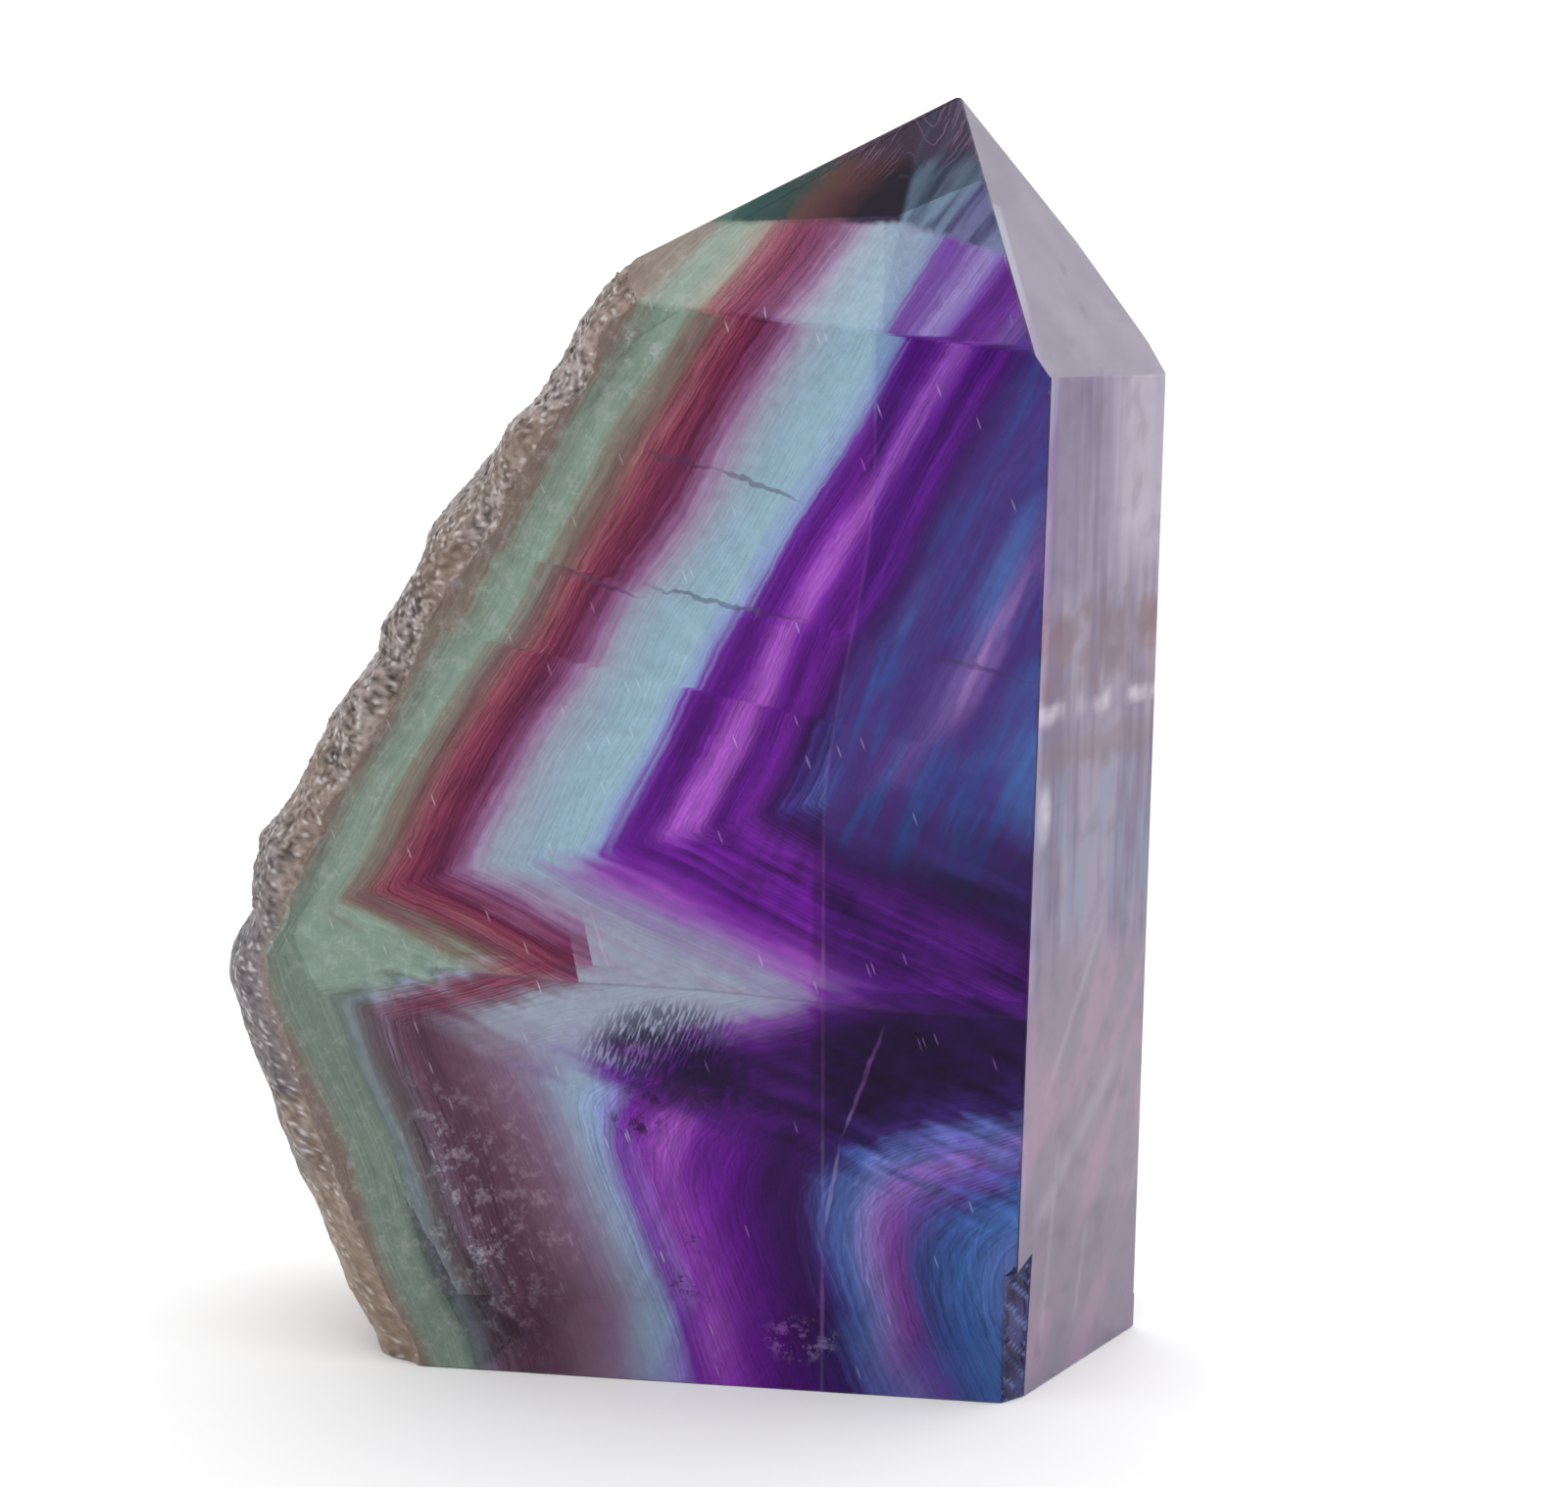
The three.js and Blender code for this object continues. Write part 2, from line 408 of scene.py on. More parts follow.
def chip_tint(point):
    """The cleavage break: dark steps with light blue painted highlights on their rims"""
    # Painted highlights along the rims of the steps
    rim = smooth(chip_phase(point), 0.72, 0.95)
    tone = grain(along_right(point), point.z, 2.0, 4.0, 3)
    return mix(mix(CHIP_DARK, CHIP_DIM, smooth(tone, 0.3, 0.8)), CHIP_RIM_HIGHLIGHT, 0.75 * rim)


TINTS = {RIND: rind_tint, SIDE: side_tint, CROWN: crown_tint, CHIP: chip_tint}

# How much of the paint shows, how clear the part is, and its roughness
FINISHES = {
    RIND: (1, 0.4, 0.45),
    SIDE: (1, 0.4, 0.08),
    CROWN: (1, 0.4, 0.05),
    CHIP: (1, 0.5, 0.18),
    BASE: (0, 0.5, 0.3),
}
CLEAR_FINISH = (0, 1, 0.03)


def paint_mesh(mesh, foot, raw):
    """Stores the paint and the finish of each face's corners. The raw side's finish fades in from its rim,
    and its paint also from the front facet."""
    points = np.array([v.co for v in mesh.vertices])
    vertex_of = np.array([l.vertex_index for l in mesh.loops])
    kinds = np.repeat([k.value for k in mesh.attributes["kind"].data], [f.loop_total for f in mesh.polygons])
    paint = np.ones((len(vertex_of), 4))
    finish = np.tile(np.array(CLEAR_FINISH, float), (len(vertex_of), 1))
    for kind, wanted in FINISHES.items():
        corners = np.flatnonzero(kinds == kind)
        used, back = np.unique(vertex_of[corners], return_inverse=True)
        places = [(Vector(point) - foot) / MM for point in points[used]]
        if kind in TINTS:
            paint[corners] = np.array([TINTS[kind](place) for place in places])[back]
        share = raw[vertex_of[corners]][:, None] if kind == RIND else 1
        finish[corners] += share * (np.array(wanted) - CLEAR_FINISH)
        if kind == RIND:
            behind = np.array([smooth(into_stone(place), *RIND_STARTS) for place in places])
            finish[corners, 0] *= behind[back]
    mesh.attributes.new("paint", "FLOAT_COLOR", "CORNER").data.foreach_set("color", paint.ravel())
    mesh.attributes.new("finish", "FLOAT_VECTOR", "CORNER").data.foreach_set("vector", finish.ravel())


# Shader nodes, all added to the tree of the material that is being made

tree = None


class Field:
    """A number, place or colour over the stone, made of shader nodes by ordinary arithmetic"""

    def __init__(self, socket):
        self.socket = socket

    def __add__(self, other):
        return calc("ADD", self, other)

    def __sub__(self, other):
        return calc("SUBTRACT", self, other)

    def __mul__(self, other):
        return calc("MULTIPLY", self, other)

    def __rsub__(self, other):
        return calc("SUBTRACT", other, self)

    __radd__ = __add__
    __rmul__ = __mul__


def plug(socket, value):
    """Links a field into a socket, or sets a plain value there"""
    if isinstance(value, Field):
        tree.links.new(value.socket, socket)
    else:
        socket.default_value = value


def calc(operation, *values):
    """The result of one operation on numbers"""
    node = tree.nodes.new("ShaderNodeMath")
    node.operation = operation
    for socket, value in zip(node.inputs, values):
        plug(socket, value)
    return Field(node.outputs[0])


def largest(first, *others):
    """The largest of some numbers"""
    for other in others:
        first = calc("MAXIMUM", first, other)
    return first


def ramp_up(value, low, high, smooth_ends=True):
    """0 to 1 as the value goes from low to high"""
    node = tree.nodes.new("ShaderNodeMapRange")
    node.interpolation_type = "SMOOTHSTEP" if smooth_ends else "LINEAR"
    for name, setting in (("Value", value), ("From Min", low), ("From Max", high)):
        plug(node.inputs[name], setting)
    return Field(node.outputs[0])


def hump(value, middle, half_width):
    """1 in the middle, 0 at half_width to either side"""
    return ramp_up(calc("ABSOLUTE", value - middle), half_width, 0.0)


def vector(x, y, z=0.0):
    """A place made of its coordinates"""
    node = tree.nodes.new("ShaderNodeCombineXYZ")
    for socket, value in zip(node.inputs, (x, y, z)):
        plug(socket, value)
    return Field(node.outputs[0])


def dot(field, direction):
    """How far a place lies along a direction"""
    node = tree.nodes.new("ShaderNodeVectorMath")
    node.operation = "DOT_PRODUCT"
    plug(node.inputs[0], field)
    node.inputs[1].default_value = direction
    return Field(node.outputs["Value"])


def attribute(name, output):
    """What the mesh stores under a name"""
    node = tree.nodes.new("ShaderNodeAttribute")
    node.attribute_name = name
    return Field(node.outputs[output])


def laid_out(place, centre, size, angle):
    """A place on a plane seen from a centre, along axes turned by an angle and measured in sizes. The third
    coordinate of the place is 1."""
    turn = math.radians(angle)
    ahead = Vector((math.cos(turn), math.sin(turn))) / size[0]
    aside = Vector((-math.sin(turn), math.cos(turn))) / size[1]
    rows = [dot(place, (*axis, -axis.dot(Vector(centre)))) for axis in (ahead, aside)]
    return vector(*rows)


def spot(place, centre, radii, angle=0.0, core=0.3):
    """1 in the core of an ellipse, 0 at its rim"""
    node = tree.nodes.new("ShaderNodeVectorMath")
    node.operation = "LENGTH"
    plug(node.inputs[0], laid_out(place, centre, radii, angle))
    return ramp_up(Field(node.outputs["Value"]), 1.0, core)


def stroke(place, start, end, half_width, core=0.3):
    """A thin line that tapers to both ends"""
    middle = ((start[0] + end[0]) / 2, (start[1] + end[1]) / 2)
    angle = math.degrees(math.atan2(end[1] - start[1], end[0] - start[0]))
    return spot(place, middle, (math.dist(start, end) / 2, half_width), angle, core)


def cloud(place, size, low=0.0, high=1.0, detail=1.0, roughness=0.6):
    """Soft noise with lumps of a size on a plane, from low to high and mostly half way"""
    node = tree.nodes.new("ShaderNodeTexNoise")
    node.noise_dimensions = "2D"
    plug(node.inputs["Vector"], place)
    for name, setting in (("Scale", 1 / size), ("Detail", detail), ("Roughness", roughness)):
        node.inputs[name].default_value = setting
    return calc("MULTIPLY_ADD", Field(node.outputs[0]), high - low, low)


def streaks(place, angle, width, length, low=0.0, high=1.0, detail=2.0):
    """Long noise along an angle"""
    return cloud(laid_out(place, (0, 0), (length, width), angle), 1.0, low, high, detail)


def marks(place, size, share):
    """Small marks: 1 in the middle of a mark, on a share of the cells of a plane"""
    node = tree.nodes.new("ShaderNodeTexVoronoi")
    node.voronoi_dimensions = "2D"
    node.inputs["Scale"].default_value = 1.0
    plug(node.inputs["Vector"], place)
    chosen = calc("GREATER_THAN", dot(Field(node.outputs["Color"]), (1, 0, 0)), 1 - share)
    return ramp_up(Field(node.outputs["Distance"]), size, size * 0.4) * chosen


def blend(amount, first, second, mode="MIX"):
    """The first colour changed towards the second"""
    node = tree.nodes.new("ShaderNodeMix")
    node.data_type = "RGBA"
    node.blend_type = mode
    for socket, value in zip((node.inputs[0], node.inputs[6], node.inputs[7]), (amount, first, second)):
        plug(socket, value)
    return Field(node.outputs[2])


def shade(colour, factor):
    """A colour made darker or lighter"""
    node = tree.nodes.new("ShaderNodeVectorMath")
    node.operation = "SCALE"
    plug(node.inputs[0], colour)
    plug(node.inputs["Scale"], factor)
    return Field(node.outputs[0])


def deepen(colour, power):
    """A colour as seen through that many times its depth"""
    node = tree.nodes.new("ShaderNodeGamma")
    plug(node.inputs[0], colour)
    plug(node.inputs[1], power)
    return Field(node.outputs[0])


def bands(depth, zones):
    """The colour at a depth below the outermost zone: (depth, colour) pairs from outside in"""
    outer, inner = zones[0][0], zones[-1][0]
    node = tree.nodes.new("ShaderNodeValToRGB")
    plug(node.inputs[0], ramp_up(depth, outer, inner, smooth_ends=False))
    stops = node.color_ramp.elements
    for index, (place, colour) in enumerate(zones):
        share = (place - outer) / (inner - outer)
        stop = stops[index] if index < 2 else stops.new(share)
        stop.position = share
        stop.color = colour
    return Field(node.outputs[0])


# Colours of the crystal's zones
RIND_TAN = rgb(152, 138, 130)
SAGE = rgb(158, 176, 163)
SAND = rgb(150, 132, 122)
SALMON = rgb(138, 90, 94)
ROSE = rgb(124, 56, 80)
WINE = rgb(112, 45, 74)
DARK_WINE = rgb(87, 33, 64)
MAGENTA = rgb(122, 68, 112)
LILAC = rgb(148, 126, 154)
MIST = rgb(144, 153, 167)
PALE_BLUE = rgb(138, 164, 178)
ICE = rgb(144, 172, 184)
PERIWINKLE = rgb(132, 146, 188)
VIOLET = rgb(148, 82, 172)
PURPLE = rgb(104, 32, 138)
DEEP_PURPLE = rgb(76, 8, 108)
INDIGO = rgb(54, 16, 82)
DUSK = rgb(62, 46, 112)
BLUE = rgb(74, 86, 146)
BRIGHT_BLUE = rgb(70, 108, 162)
OLD_ROSE = rgb(112, 86, 100)
MAROON = rgb(84, 56, 74)
MAUVE = rgb(124, 100, 128)
ORCHID = rgb(146, 126, 180)
BOTTLE = rgb(120, 134, 126)
LAVENDER = rgb(132, 118, 158)
SKY = rgb(98, 122, 174)
FUCHSIA = rgb(138, 74, 156)
NEAR_BLACK = rgb(22, 10, 34)
CHALK = rgb(205, 205, 214)

# Colours of its streaks, needles and cracks, and of the painted shade and painted reflections near its tip
FAN_BLUE = rgb(62, 98, 158)
FAN_PURPLE = rgb(88, 58, 126)
BLUE_CAST = rgb(196, 204, 226)
FLARE = rgb(160, 128, 184)
NEEDLE = rgb(24, 20, 48)
SLATE = rgb(50, 64, 88)
PALE_SLATE = rgb(96, 116, 138)
TIP_PLUM = rgb(66, 50, 72)
TIP_REFLECTION_LINE = rgb(150, 110, 146)
OPEN_CRACK = rgb(44, 30, 60)
HEALED_CRACK = rgb(170, 140, 180)

# Depth below the outer edge of the wine band, mm, and the colour there. Each crystal has a long side with
# clear bands and a short flank, next to the seam, with cloudier ones.
WINE_ZONES = [
    (-11, RIND_TAN), (-6.8, RIND_TAN), (-5.2, SAGE), (-3.4, SAGE), (-2.2, SAND), (-1.0, SALMON),
    (0.2, ROSE), (1.0, WINE), (2.5, DARK_WINE), (3.3, MAGENTA), (4.4, LILAC),
]
UPPER_SIDE = [
    *WINE_ZONES, (5.6, MIST), (8.0, PALE_BLUE), (10.3, ICE), (11.7, PERIWINKLE), (12.5, PURPLE),
    (13.4, DEEP_PURPLE), (14.6, PURPLE), (15.8, VIOLET), (16.6, VIOLET), (17.4, PURPLE),
    (18.6, DEEP_PURPLE), (19.8, PURPLE), (21.5, INDIGO), (22.8, DUSK), (25.0, BLUE), (26.8, DUSK),
    (29.2, ORCHID), (31.5, DUSK), (34.0, BRIGHT_BLUE),
]
UPPER_FLANK = [
    *WINE_ZONES, (6.0, MIST), (8.5, LAVENDER), (10.5, VIOLET), (12.0, PURPLE), (14.0, DEEP_PURPLE),
    (15.5, PURPLE), (17.0, DEEP_PURPLE), (19.0, PURPLE), (22.0, INDIGO), (25.0, DUSK), (28.0, INDIGO),
    (32.0, DUSK),
]
LOWER_OUTSIDE = [
    (-9, RIND_TAN), (-7.0, RIND_TAN), (-5.5, SAGE), (-3.6, SAGE), (-2.4, BOTTLE), (-1.5, MIST),
    (-0.4, OLD_ROSE),
]
LOWER_INSIDE = [
    (24.0, INDIGO), (25.8, INDIGO), (27.4, BLUE), (29.0, SKY), (30.8, ORCHID), (32.4, FUCHSIA),
    (34.2, BLUE), (36.5, BRIGHT_BLUE), (40.0, SKY), (42.5, ORCHID),
]
LOWER_SIDE = [
    *LOWER_OUTSIDE, (1.5, MAROON), (4.0, MAROON), (6.0, OLD_ROSE), (9.0, MAUVE), (12.0, PALE_BLUE),
    (13.6, PERIWINKLE), (15.0, PURPLE), (17.4, VIOLET), (19.4, PURPLE), (22.5, DEEP_PURPLE),
    *LOWER_INSIDE,
]
LOWER_FLANK = [
    *LOWER_OUTSIDE, (0.8, ROSE), (2.4, OLD_ROSE), (4.0, MIST), (8.5, MIST), (11.0, LAVENDER),
    (12.5, PURPLE), (14.5, INDIGO), *LOWER_INSIDE,
]

# Near the tip the bands look dark, because the back facets throw no light forward there
CAP_ZONES = [
    (-9, rgb(86, 110, 104)), (-4.5, rgb(52, 92, 86)), (-2.4, rgb(60, 82, 76)), (-1.2, rgb(104, 76, 70)),
    (0.4, rgb(96, 56, 62)), (2.2, rgb(58, 30, 42)), (3.2, NEAR_BLACK), (8.6, NEAR_BLACK),
    (9.6, rgb(60, 44, 66)),
]

# The bends of the two crystals' wine bands, and the angles of their growth faces
UPPER_BEND = (-41.8, 37.8)
UPPER_ANGLES = (59.6, 156.0)
LOWER_BEND = (-44.1, 28.7)
LOWER_ANGLES = (111.0, 15.4)
FLANK_RIM = -4.5  # the flanks have no zones outside this depth
BEND_ROUND = 0.8
INNER_BEND_ROUND = 16.0

# Ends of the cracks in the front facet
CRACKS = [
    ((-29.5, 64.2), (-21.0, 61.4)),
    ((-23.0, 62.8), (-7.0, 59.6)),
    ((-22.8, 72.9), (-15.0, 71.2)),
    ((-17.0, 71.8), (-9.0, 69.0)),
    ((-1.5, 58.1), (9.5, 55.5)),
]
HEALED = [
    ((-2.8, 29.9), (-6.4, 20.0), 0.24),
    ((-6.4, 20.0), (-7.8, 12.0), 0.24),
    ((-7.8, 12.0), (-7.8, 2.0), 0.24),
    ((-26.5, 38.4), (-24.1, 31.0), 0.16),
]


def stone_place(foot):
    """Where a point lies, in mm from the foot of the tip: u right along the front facet, v up, w into the
    stone. Inside, the bands run back a little askew, so u and v follow them. It also says how far a point
    belongs to the front facet and to the crown, and the steps that follow add what they find."""
    coordinates = tree.nodes.new("ShaderNodeTexCoord")
    node = tree.nodes.new("ShaderNodeVectorMath")
    node.operation = "MULTIPLY_ADD"
    tree.links.new(coordinates.outputs["Object"], node.inputs[0])
    node.inputs[1].default_value = (1 / MM, 1 / MM, 1 / MM)
    node.inputs[2].default_value = (-foot.x / MM, -foot.y / MM, 0)
    p = Field(node.outputs[0])
    w = dot(p, (-math.sin(FRONT_TURN), math.cos(FRONT_TURN), 0)) + FRONT_DISTANCE
    u = dot(p, (math.cos(FRONT_TURN), math.sin(FRONT_TURN), 0))
    u = calc("MULTIPLY_ADD", w, -0.1, u)
    u = calc("MULTIPLY_ADD", ramp_up(w, 12, 28), 6.4, u)
    z = dot(p, UP)
    v = calc("MULTIPLY_ADD", w, 0.098, z)
    front = ramp_up(w, 5.0, 3.0)
    crown = ramp_up(w, 0.6, 1.0) * ramp_up(w, 18.0, 17.0)
    return SimpleNamespace(u=u, v=v, w=w, z=z, uv=vector(u, v, 1.0), front=front, crown=crown)


def leg(uv, corner, angle, spacing=1.0):
    """Depth below one growth face of a zoned crystal. The face runs through the corner, with its outside to
    the left of a heading at this angle from +u."""
    turn = math.radians(angle)
    inward = Vector((math.sin(turn), -math.cos(turn))) * spacing
    return dot(uv, (*inward, -inward.dot(Vector(corner))))


def upper_depths(at, sway):
    """Depths in the upper crystal: below its long side, below its flank, and below both"""
    layer = dot(at.uv, (0.21, 1, 0))
    slips = ramp_up(layer, 58.1, 57.9) * 0.5 + ramp_up(layer, 51.1, 50.9) * 0.6
    side = leg(at.uv, UPPER_BEND, UPPER_ANGLES[0]) + slips + sway
    side = side - at.crown * ramp_up(at.u, -5.0, -2.5) * 2.8
    below = ramp_up(at.v, 66.0, 42.0, smooth_ends=False)
    side = side - below * ramp_up(side, 4.0, 12.0) * 1.4
    flank = largest(leg(at.uv, UPPER_BEND, UPPER_ANGLES[1], 1.16) + sway, FLANK_RIM)

    # The wine band breaks off short of the seam
    broken = ramp_up(dot(at.uv, (1, 0.2, 0)), -20.9, -20.7) * ramp_up(at.v, 41.0, 39.0)
    least = calc("MULTIPLY_ADD", broken, 30.0, -24.6)
    flank = largest(flank, least)
    return side, flank, largest(calc("SMOOTH_MIN", side, flank, BEND_ROUND), least)


def lower_depths(at, sway):
    """Depths in the lower crystal in the same way. Deep inside, its bands turn in a wide round."""
    side = leg(at.uv, LOWER_BEND, LOWER_ANGLES[0]) + sway
    flank = largest(leg(at.uv, LOWER_BEND, LOWER_ANGLES[1], 1.4) + sway, FLANK_RIM)
    sharp = calc("SMOOTH_MIN", side, flank, BEND_ROUND)
    rounded = calc("SMOOTH_MIN", side, flank, INNER_BEND_ROUND)
    return side, flank, sharp + (rounded - sharp) * ramp_up(sharp, 8.0, 20.0)


def crystal_bands(at):
    """Two crystals grown together, each zoned parallel to its own growth faces"""
    at.jitter = cloud(at.uv, 1.5, -0.3, 0.3, 2.0)
    at.fan = streaks(at.uv, 66, 1.4, 12.0, -0.5, 0.5)
    sway = calc("MULTIPLY_ADD", at.jitter, 0.6, cloud(at.uv, 11, -0.8, 0.8, 0.0))
    feather = streaks(at.uv, -24, 1.3, 9.0, -0.5, 0.5, 1.0)
    upper_side, upper_flank, upper = upper_depths(at, sway)
    lower_side, lower_flank, lower = lower_depths(at, sway)
    at.seam = dot(at.uv, (0.048, 1, -30.4)) + sway * 0.4
    is_upper = ramp_up(at.seam, -0.1, 0.1)
    at.depth = lower + is_upper * (upper - lower)

    along = vector(at.depth, dot(at.uv, (0.02, 0.03, 0)))
    lines = cloud(along, 0.77, -0.5, 0.5, 2.0, 0.7)
    feathered = feather * 4.0
    upper_colour = bands(calc("MULTIPLY_ADD", lines, 2.2, upper), UPPER_SIDE)
    on_upper_flank = ramp_up(upper_side - upper_flank + feathered, -1.0, 2.5)
    upper_colour = blend(on_upper_flank, upper_colour, bands(upper_flank + feathered, UPPER_FLANK))
    lower_colour = bands(calc("MULTIPLY_ADD", lines, 1.5, lower), LOWER_SIDE)
    on_lower_flank = ramp_up(lower_side - lower_flank + feathered, -1.0, 4.0)
    lower_colour = blend(on_lower_flank, lower_colour, bands(lower + feathered, LOWER_FLANK))
    on_flank = on_lower_flank + is_upper * (on_upper_flank - on_lower_flank)
    colour = blend(is_upper, lower_colour, upper_colour)

    # Growth lines, fine in the wine band and broad in the purple one
    at.fine = cloud(along, 0.18, -0.5, 0.5, 1.0, 0.7)
    inside = ramp_up(at.depth, 11.0, 14.0)
    strength = largest(hump(at.depth, 0.8, 4.5) * 2.2, inside * 1.2, 0.4)
    streaky = (lines * 0.8 + at.fan * 0.7 + feather * on_flank * 2.0) * inside
    return shade(colour, calc("MULTIPLY_ADD", at.fine, strength, 1.0) + streaky)


def right_of_line(colour, at):
    """Right of the back edge's image the crystal is darker and bluer, with fanned streaks"""
    at.line = calc("MULTIPLY_ADD", ramp_up(at.v, 72, 44), 3.8, at.u) + 4.0
    beyond = ramp_up(at.line, -0.15, 0.15)
    fan_colour = blend(ramp_up(at.fan, -0.25, 0.02), FAN_BLUE, FAN_PURPLE)
    fanned = beyond * ramp_up(at.v, 36, 46) * ramp_up(at.depth, 20.0, 23.0) * 0.75
    colour = blend(fanned, colour, fan_colour)
    colour = blend(beyond * 0.6, colour, BLUE_CAST, "MULTIPLY")
    dim = ramp_up(at.u, -8.9, -8.5) * largest(hump(at.v, 38, 12) * 0.35, hump(at.v, 26, 7) * 0.45)
    colour = shade(colour, 1.0 - dim)
    blue = largest(
        spot(at.uv, (9.5, 50.0), (5.0, 9.0)) * 0.8,
        stroke(at.uv, (-2.6, 58.0), (1.2, 65.6), 1.1) * 0.6,
        stroke(at.uv, (2.5, 58.0), (9.5, 72.0), 1.6) * 0.7,
    )
    colour = blend(blue * ramp_up(at.fan, 0.25, -0.1), colour, BRIGHT_BLUE)
    flare = stroke(at.uv, (9.2, 67.0), (1.0, 50.0), 1.3) * ramp_up(at.fan, -0.2, 0.1)
    return blend(flare * 0.75, colour, FLARE)


def inclusions(colour, at):
    """Dark needles and specks caught between the two crystals"""
    brush = ramp_up(streaks(at.uv, 68, 0.26, 1.7, detail=1.0), 0.42, 0.53)
    needles = spot(at.uv, (-20.8, 26.2), (7.6, 3.4), core=0.5) * brush
    colour = blend(needles * 0.9, colour, NEEDLE)
    at.haze = cloud(at.uv, 1.5, -0.5, 0.5, 3.0, 0.8)
    clot = spot(at.uv, (-16.4, 23.6), (5.2, 2.6)) * ramp_up(at.haze, -0.15, 0.05)
    specks = spot(at.uv, (-22.6, 20.6), (3.2, 1.4)) * ramp_up(at.haze, -0.04, 0.06)
    dashes = spot(at.uv, (-19.0, 8.0), (2.6, 1.0), -20) * ramp_up(at.haze, 0.0, 0.06)
    return blend(largest(clot, specks, dashes) * 0.9, colour, NEAR_BLACK)


def painted_tip_shade(colour, at):
    """Painted shade near the tip, where the back facets throw no light forward: dark streaks, a black patch
    and a slate corner, with pale painted reflection lines at the very tip
    """
    edge = calc("MULTIPLY_ADD", largest(at.line, 0.0), 0.3, at.z) + at.jitter * 1.5
    at.cap = ramp_up(edge, 89.5, 90.2) * at.crown
    cap = bands(at.depth + at.jitter * 3.0, CAP_ZONES)
    slate = blend(ramp_up(at.fan, -0.15, 0.1), SLATE, PALE_SLATE)
    cap = blend(ramp_up(at.line, -0.3, 0.3), cap, slate)
    tipward = ramp_up(at.v + at.jitter * 3.0, 95.0, 97.0)
    cap = blend(tipward * 0.8, cap, TIP_PLUM)
    # Pale painted reflection lines at the very tip
    tip_reflection_lines = ramp_up(at.fine, 0.05, 0.2) * ramp_up(at.v, 93.0, 97.0)
    cap = blend(tip_reflection_lines * 0.6, cap, TIP_REFLECTION_LINE)
    return blend(at.cap, colour, cap)


def cracks(colour, at):
    """Thin cracks in the front facet, dark where open and pale where healed, a dark line along the seam, and
    a faint painted highlight along the back edge's image
    """
    shaken = vector(at.u, calc("MULTIPLY_ADD", at.jitter, 1.6, at.v), 1.0)
    dark = hump(at.seam, 0.0, 0.2) * ramp_up(at.u, -33, -30) * 0.6
    for start, end in CRACKS:
        dark = largest(dark, stroke(shaken, start, end, 0.26, 0.5))
    colour = blend(dark * at.front * 0.75, colour, OPEN_CRACK)
    # A faint painted highlight along the back edge's image, joined with the pale healed cracks
    pale = hump(at.line, 0.0, 0.2) * 0.16
    for start, end, half_width in HEALED:
        pale = largest(pale, stroke(shaken, start, end, half_width))
    return blend(pale * at.front * 0.5, colour, HEALED_CRACK)


def wear(colour, at):
    """Scratches and scuffs on the polish, and frosty wisps"""
    scratches = marks(laid_out(at.uv, (0, 0), (3.3, 0.4), 110), 0.2, 0.03)
    scuffs = largest(spot(at.uv, (-22.3, 80.6), (2.6, 2.0)), spot(at.uv, (-9.6, 4.0), (3.6, 2.2)))
    misty = largest(
        spot(at.uv, (-36.0, 12.0), (11.0, 16.0)) * 0.5,
        ramp_up(at.depth, -1.5, -3.5) * 0.3,
        stroke(at.uv, (-44.0, 25.0), (-34.5, 0.4), 0.5),
        scuffs * 1.2,
    )
    wisps = ramp_up(at.haze, 0.0, 0.22) * misty
    chalk = largest(scratches * 0.45, wisps * 0.55)
    colour = shade(colour, at.haze * 0.5 + 1.0)
    return blend(chalk * at.front, colour, CHALK)


def crystal_colour(at):
    """All that is seen in the clear crystal. Its front half carries most of the colour that a ray picks up
    on its way through."""
    colour = crystal_bands(at)
    colour = right_of_line(colour, at)
    colour = inclusions(colour, at)
    power = calc("MULTIPLY_ADD", at.crown, -0.3, 1.33)
    colour = deepen(colour, calc("MULTIPLY_ADD", ramp_up(at.w, 17.0, 24.0), -0.45, power))
    colour = painted_tip_shade(colour, at)
    colour = cracks(colour, at)
    return wear(colour, at)


def fluorite(foot):
    """The one material of the stone: clear banded crystal, with the paint and finish that the mesh stores"""
    global tree
    material = bpy.data.materials.new("banded fluorite")
    material.use_nodes = True
    tree = material.node_tree
    tree.nodes.clear()
    at = stone_place(foot)
    colour = crystal_colour(at)
    finish = tree.nodes.new("ShaderNodeSeparateXYZ")
    plug(finish.inputs[0], attribute("finish", "Vector"))
    painted, clear, rough = [Field(output) for output in finish.outputs]
    milky = ramp_up(at.depth, -1.0, -3.0) * 0.5 + ramp_up(at.depth, -5.0, -7.0) * 0.2
    milky = largest(milky, at.cap * 0.6)

    shader = tree.nodes.new("ShaderNodeBsdfPrincipled")
    shader.inputs["IOR"].default_value = REFRACTION
    shader.inputs["Specular Tint"].default_value = SHEEN
    plug(shader.inputs["Base Color"], blend(painted, colour, attribute("paint", "Color")))
    plug(shader.inputs["Transmission Weight"], clear - milky * (1.0 - painted))
    plug(shader.inputs["Roughness"], rough)
    absorption = tree.nodes.new("ShaderNodeVolumeAbsorption")
    absorption.inputs["Color"].default_value = ABSORPTION
    absorption.inputs["Density"].default_value = ABSORPTION_DENSITY
    output = tree.nodes.new("ShaderNodeOutputMaterial")
    tree.links.new(shader.outputs[0], output.inputs["Surface"])
    tree.links.new(absorption.outputs[0], output.inputs["Volume"])
    return material


# Stage


def plain_material(name, colour, roughness):
    """A material of one colour"""
    material = bpy.data.materials.new(name)
    material.use_nodes = True
    shader = material.node_tree.nodes["Principled BSDF"]
    shader.inputs["Base Color"].default_value = colour
    shader.inputs["Roughness"].default_value = roughness
    return material


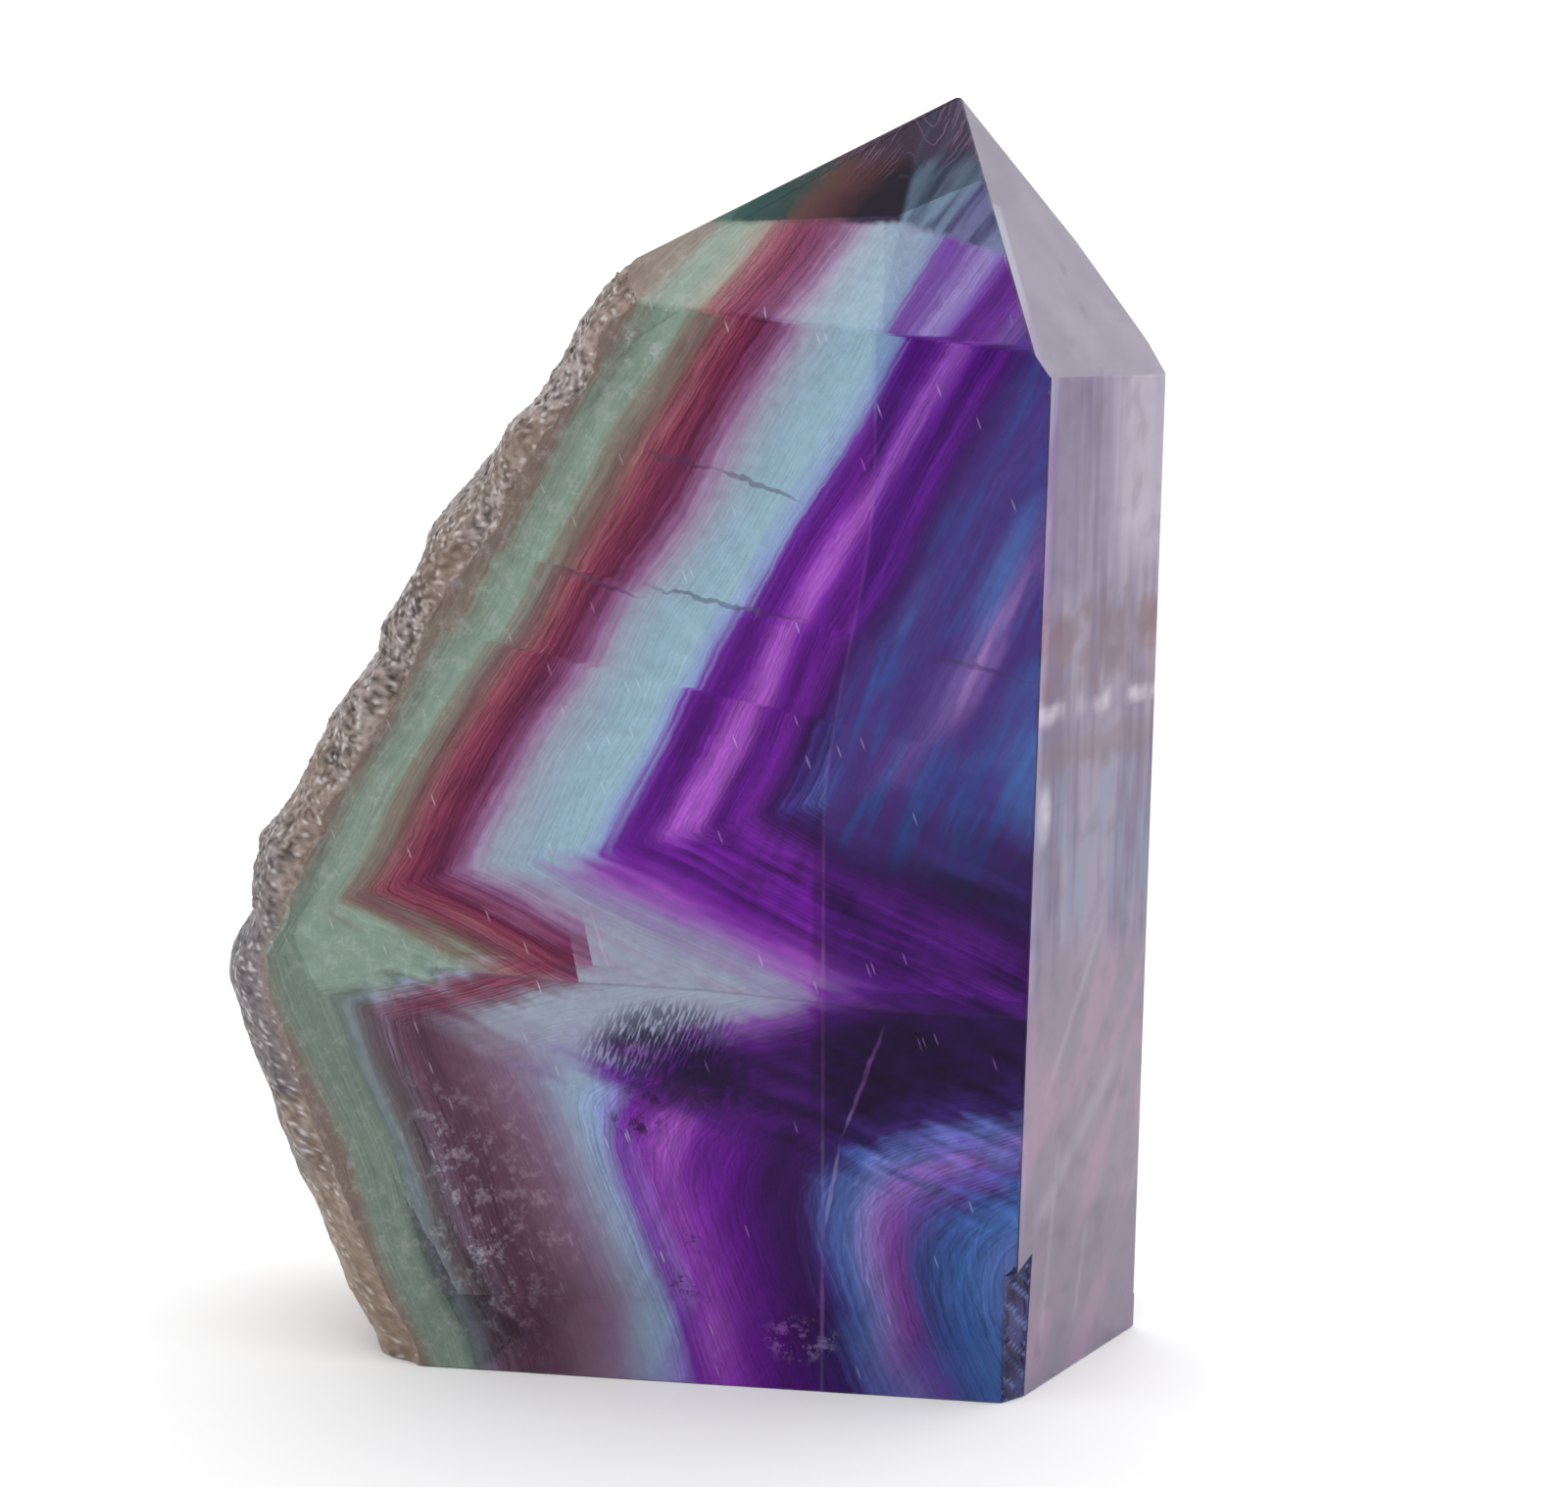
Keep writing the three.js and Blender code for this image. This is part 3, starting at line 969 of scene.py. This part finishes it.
def add_floor():
    """A wide pale floor"""
    mesh = bpy.data.meshes.new("floor")
    bm = bmesh.new()
    bmesh.ops.create_circle(bm, cap_ends=True, radius=FLOOR_RADIUS, segments=64)
    bm.to_mesh(mesh)
    bm.free()
    mesh.materials.append(plain_material("floor", (0.96, 0.96, 0.96, 1), 0.8))
    floor = bpy.data.objects.new("floor", mesh)
    floor.location.z = -FLOOR_GAP
    bpy.context.scene.collection.objects.link(floor)


def add_world():
    """A white room, a little brighter high on the right and behind the stone"""
    world = bpy.data.worlds.new("studio")
    world.use_nodes = True
    world.cycles.sampling_method = "NONE"
    nodes, links = world.node_tree.nodes, world.node_tree.links
    direction = nodes.new("ShaderNodeTexCoord")
    towards = nodes.new("ShaderNodeVectorMath")
    towards.operation = "DOT_PRODUCT"
    towards.inputs[1].default_value = Vector(KEY_WAY).normalized()
    links.new(direction.outputs["Generated"], towards.inputs[0])
    strength = nodes.new("ShaderNodeMapRange")
    strength.interpolation_type = "SMOOTHSTEP"
    settings = {"From Min": -0.6, "From Max": 1.0, "To Min": ROOM_DIM, "To Max": ROOM_BRIGHT}
    for name, setting in settings.items():
        strength.inputs[name].default_value = setting
    links.new(towards.outputs["Value"], strength.inputs["Value"])
    links.new(strength.outputs[0], nodes["Background"].inputs["Strength"])
    nodes["Background"].inputs["Color"].default_value = (1, 1, 1, 1)
    bpy.context.scene.world = world


def add_camera(foot):
    """The photo's view"""
    data = bpy.data.cameras.new("camera")
    data.lens = LENS
    data.sensor_width = 36.0
    data.clip_start = 0.01
    camera = bpy.data.objects.new("camera", data)
    camera.location = foot + CAMERA_PLACE
    camera.rotation_euler = (math.radians(90 - LOOK_DOWN), 0, 0)
    bpy.context.scene.collection.objects.link(camera)
    bpy.context.scene.camera = camera


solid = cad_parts[NODE]
tip = max((v.co for v in solid.data.vertices), key=lambda co: co.z)
foot = Vector((tip.x, tip.y, 0))
stone = bpy.data.objects.new("stone", stone_mesh(solid, foot))
bpy.context.scene.collection.objects.link(stone)
stone.data.materials.append(fluorite(foot))
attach(stone, "root")
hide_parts(NODE)
add_floor()
add_world()
add_camera(foot)
bpy.context.scene.view_settings.view_transform = "Standard"
